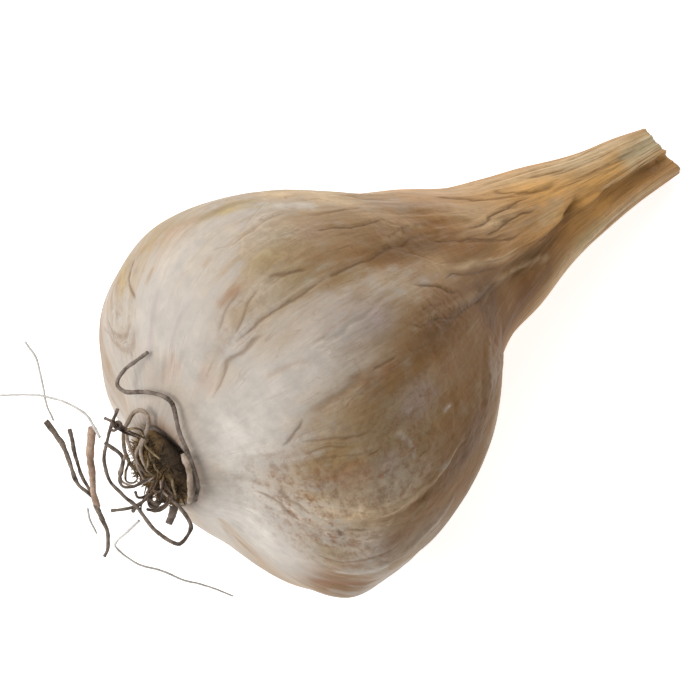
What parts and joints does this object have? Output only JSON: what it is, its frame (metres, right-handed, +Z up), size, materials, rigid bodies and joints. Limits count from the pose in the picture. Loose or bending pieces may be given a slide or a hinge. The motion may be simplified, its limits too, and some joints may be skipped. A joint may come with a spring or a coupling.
{
  "type": "garlic bulb",
  "caption": "Whole dried garlic bulb lying on its side, papery outer leaves drawn into a long cut neck, with a root plate and a tuft of curled roots.",
  "frame": {"origin": "centre of the bounding box on the surface that the bulb lies on", "axes": "+X from the root end towards the cut neck, along the surface; +Z up"},
  "size_m": [0.0988, 0.0578, 0.0566],
  "materials": {
    "inner_skin": "satin",
    "outer_leaf": "satin",
    "side_leaf": "satin",
    "root_plate": "matte",
    "root": "matte",
    "root_fork": "matte",
    "hair_root": "matte"
  },
  "bodies": {
    "root": {"bulb": "inner_skin", "upper_leaf": "outer_leaf", "side_leaf": "side_leaf", "basal_plate": "root_plate", "root_hook": "root", "root_loop": "root", "root_long": "root", "root_ring": "root", "root_stub": "root", "root_side": "root", "root_spur": "root", "root_curl_1": "root", "root_curl_2": "root", "root_top": "root", "root_fork": "root_fork", "thread_upper": "hair_root", "thread_left": "hair_root", "thread_lower": "hair_root", "thread_fork": "hair_root"}
  },
  "joints": []
}
